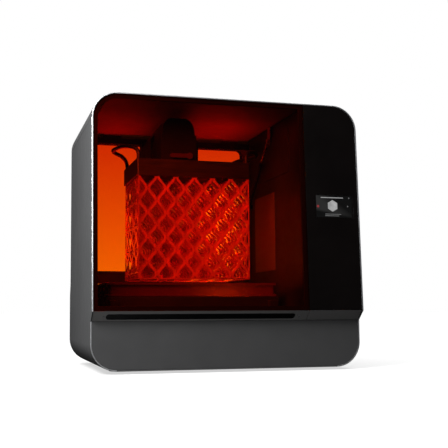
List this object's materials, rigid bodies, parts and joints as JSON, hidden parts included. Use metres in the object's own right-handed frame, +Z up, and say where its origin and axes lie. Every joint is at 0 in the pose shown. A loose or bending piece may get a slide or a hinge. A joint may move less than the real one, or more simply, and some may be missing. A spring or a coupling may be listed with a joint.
{
  "type": "resin printer",
  "caption": "Large desktop resin printer: rounded dark grey body, amber tinted lift-up hood over the build chamber, black side column with a touchscreen, and a lattice print on its platform.",
  "frame": {"origin": "centre of the bounding box at the level the feet stand on", "axes": "+X to the right seen from the front, +Y to the rear, +Z up; the window and the touchscreen face -Y"},
  "size_m": [0.76, 0.52, 0.748],
  "materials": {
    "side_skin": "satin dark grey coat, bright bare front edge",
    "grey_panel": "satin dark grey",
    "gloss_black": "polished black",
    "black_plastic": "fine moulded texture",
    "amber_window": "polished amber acrylic",
    "clear_film": "clear film",
    "printed_resin": "wet cured resin",
    "lever_orange": "satin moulded",
    "steel": "ground",
    "alloy": "bead blasted",
    "circuit_board": "solder mask",
    "rubber": "matte"
  },
  "bodies": {
    "printer_body": {"left_side_panel": "side_skin", "right_side_panel": "side_skin", "bottom_pan": "grey_panel", "base_front_panel": "grey_panel", "column_bar": "grey_panel", "column_rear_panel": "grey_panel", "rear_upper_frame": "grey_panel", "rear_lower_cover": "grey_panel", "column_front_panel": "gloss_black", "touchscreen": "gloss_black", "column_inner_wall": "black_plastic", "cartridge_bay": "black_plastic", "left_inner_wall": "black_plastic", "chamber_deck": "black_plastic", "resin_tank": "black_plastic", "z_tower": "black_plastic", "power_inlet": "black_plastic", "switch_housing": "black_plastic", "fan_frame": "black_plastic", "rear_window": "amber_window", "tank_film": "clear_film", "hinge_bracket_left": "steel", "hinge_bracket_right": "steel", "light_rod_front": "steel", "light_rod_rear": "steel", "power_supply": "alloy", "z_motor": "alloy", "drive_motor": "alloy", "main_board": "circuit_board", "drive_belt": "rubber", "foot_front_left": "rubber", "foot_front_right": "rubber", "foot_rear_left": "rubber", "foot_rear_right": "rubber"},
    "hood": {"hood_skin": "side_skin", "hood_frame": "black_plastic", "hood_liner": "black_plastic", "front_window": "amber_window", "handle_bar": "grey_panel"},
    "strut_cylinder": {"gas_strut_cylinder": "black_plastic"},
    "strut_rod": {"gas_strut_rod": "steel"},
    "z_carriage": {"carriage_arm": "black_plastic", "arm_cover": "black_plastic", "build_platform": "alloy", "platform_handle_left": "black_plastic", "platform_handle_right": "black_plastic", "printed_lattice": "printed_resin"},
    "lock_lever": {"platform_lock_lever": "lever_orange"},
    "lead_screw": {"lead_screw": "steel"},
    "light_carriage": {"light_carriage": "alloy", "laser_unit_front": "black_plastic", "laser_unit_rear": "black_plastic"},
    "film_roller": {"film_roller": "steel"},
    "tank_mixer": {"tank_mixer": "alloy"},
    "idler_pulley": {"idler_pulley": "alloy"},
    "drive_pulley": {"drive_pulley": "alloy"},
    "cartridge_left": {"resin_cartridge_left": "black_plastic"},
    "cartridge_right": {"resin_cartridge_right": "black_plastic"},
    "fan_rotor": {"fan_rotor": "black_plastic"},
    "rocker_switch": {"rocker_switch": "black_plastic"}
  },
  "joints": [
    {"name": "hood_hinge", "type": "hinge", "parent": "printer_body", "child": "hood", "pos_m": [0, 0.225, 0.741], "axis": [-1, 0, 0], "range_deg": [0, 55]},
    {"name": "strut_swing", "type": "hinge", "parent": "printer_body", "child": "strut_cylinder", "pos_m": [0.205, 0.2, 0.51], "axis": [-1, 0, 0], "range_deg": [0, 26.22]},
    {"name": "strut_extend", "type": "slide", "parent": "strut_cylinder", "child": "strut_rod", "axis": [0, -0.7167, 0.6974], "range_m": [0, 0.1409]},
    {"name": "platform_lift", "type": "slide", "parent": "printer_body", "child": "z_carriage", "axis": [0, 0, 1], "range_m": [-0.042, 0]},
    {"name": "lead_screw_turn", "type": "hinge", "parent": "printer_body", "child": "lead_screw", "pos_m": [-0.1035, 0.181, 0.4], "axis": [0, 0, 1], "range_deg": [-10, 2000]},
    {"name": "lock_lever_turn", "type": "hinge", "parent": "z_carriage", "child": "lock_lever", "pos_m": [-0.078, -0.1, 0.61], "axis": [0, 1, 0], "range_deg": [0, 90]},
    {"name": "light_scan", "type": "slide", "parent": "printer_body", "child": "light_carriage", "axis": [1, 0, 0], "range_m": [-0.41, 0]},
    {"name": "film_roller_turn", "type": "hinge", "parent": "light_carriage", "child": "film_roller", "pos_m": [0.125, 0, 0.1965], "axis": [0, 1, 0], "range_deg": [-10, 4750]},
    {"name": "mixer_sweep", "type": "slide", "parent": "printer_body", "child": "tank_mixer", "axis": [1, 0, 0], "range_m": [-0.411, 0.001]},
    {"name": "drive_pulley_turn", "type": "hinge", "parent": "printer_body", "child": "drive_pulley", "pos_m": [0.215, 0, 0.058], "axis": [0, 1, 0], "range_deg": [-1900, 10]},
    {"name": "idler_pulley_turn", "type": "hinge", "parent": "printer_body", "child": "idler_pulley", "pos_m": [-0.325, 0, 0.058], "axis": [0, 1, 0], "range_deg": [-1900, 10]},
    {"name": "cartridge_left_slide", "type": "slide", "parent": "printer_body", "child": "cartridge_left", "axis": [0, 1, 0], "range_m": [0, 0.16]},
    {"name": "cartridge_right_slide", "type": "slide", "parent": "printer_body", "child": "cartridge_right", "axis": [0, 1, 0], "range_m": [0, 0.16]},
    {"name": "fan_spin", "type": "hinge", "parent": "printer_body", "child": "fan_rotor", "pos_m": [-0.2, 0.2415, 0.11], "axis": [0, 1, 0], "continuous": true},
    {"name": "power_switch", "type": "hinge", "parent": "printer_body", "child": "rocker_switch", "pos_m": [0.25, 0.25, 0.06], "axis": [1, 0, 0], "range_deg": [0, 12]}
  ],
  "couplings": [
    {"joint": "strut_swing", "follows": "hood_hinge", "ratio": 0.46767},
    {"joint": "strut_extend", "follows": "hood_hinge", "m_per_rad": 0.14569},
    {"joint": "lead_screw_turn", "follows": "platform_lift", "rad_per_m": -785.4},
    {"joint": "film_roller_turn", "follows": "light_scan", "rad_per_m": -200},
    {"joint": "mixer_sweep", "follows": "light_scan", "ratio": 1},
    {"joint": "drive_pulley_turn", "follows": "light_scan", "rad_per_m": 76.923},
    {"joint": "idler_pulley_turn", "follows": "light_scan", "rad_per_m": 76.923}
  ]
}
